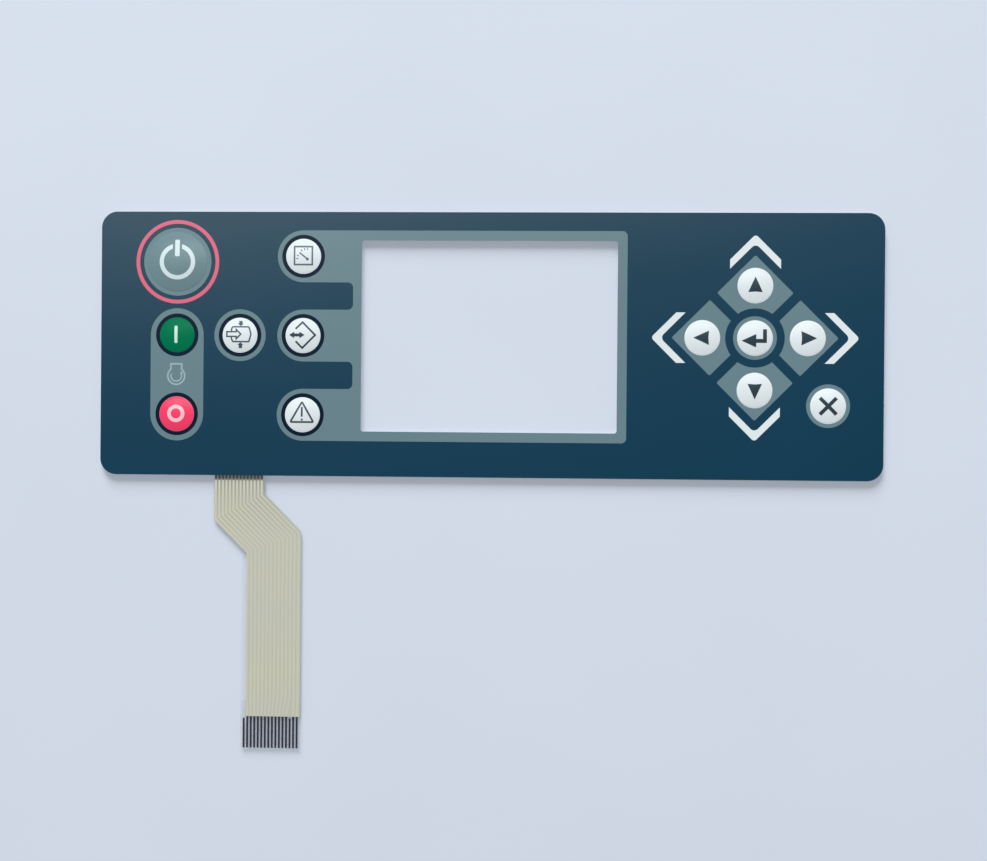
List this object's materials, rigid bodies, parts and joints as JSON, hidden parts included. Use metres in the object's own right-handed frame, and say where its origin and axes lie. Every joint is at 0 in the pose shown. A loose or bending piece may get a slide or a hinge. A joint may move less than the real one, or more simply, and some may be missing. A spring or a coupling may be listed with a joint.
{
  "type": "membrane keypad",
  "caption": "Flat membrane keypad: navy film face with embossed keys, a cursor pad and an open display window, over a dome switch laminate, with a printed film tail ending in carbon contacts.",
  "frame": {"origin": "middle of the panel's outline, on its rear face", "axes": "+Z out of the printed face, +X to the right and +Y to the top edge of the panel; the tail leaves towards -Y"},
  "size_m": [0.2186, 0.1512, 0.0017],
  "materials": {
    "overlay_film": "fine velvet texture, navy",
    "grey_ink": "matte blue-grey print",
    "white_ink": "matte white print",
    "dark_ink": "matte dark navy print",
    "red_ink": "matte pinkish red print",
    "green_ink": "matte green print",
    "adhesive": "pale tacky film",
    "spacer_film": "milky film",
    "silver_print": "dull silver print",
    "coat": "satin beige-grey insulating print",
    "carbon": "matte black carbon print",
    "circuit_film": "clear film",
    "stiffener": "clear stiff film",
    "liner": "smooth release paper",
    "dome_steel": "bright spring steel"
  },
  "bodies": {
    "root": {"graphic_overlay": "overlay_film", "grey_print": "grey_ink", "white_print": "white_ink", "dark_print": "dark_ink", "red_print": "red_ink", "green_print": "green_ink", "overlay_adhesive": "adhesive", "spacer": "spacer_film", "signal_traces": "silver_print", "common_trace": "silver_print", "tail_coat": "coat", "contact_fingers": "carbon", "circuit_film": "circuit_film", "tail_stiffener": "stiffener", "rear_adhesive": "adhesive", "release_liner": "liner", "dome_power": "dome_steel", "dome_start": "dome_steel", "dome_stop": "dome_steel", "dome_load": "dome_steel", "dome_gauge": "dome_steel", "dome_service": "dome_steel", "dome_alarm": "dome_steel", "dome_up": "dome_steel", "dome_left": "dome_steel", "dome_enter": "dome_steel", "dome_down": "dome_steel", "dome_right": "dome_steel", "dome_cancel": "dome_steel"}
  },
  "joints": []
}
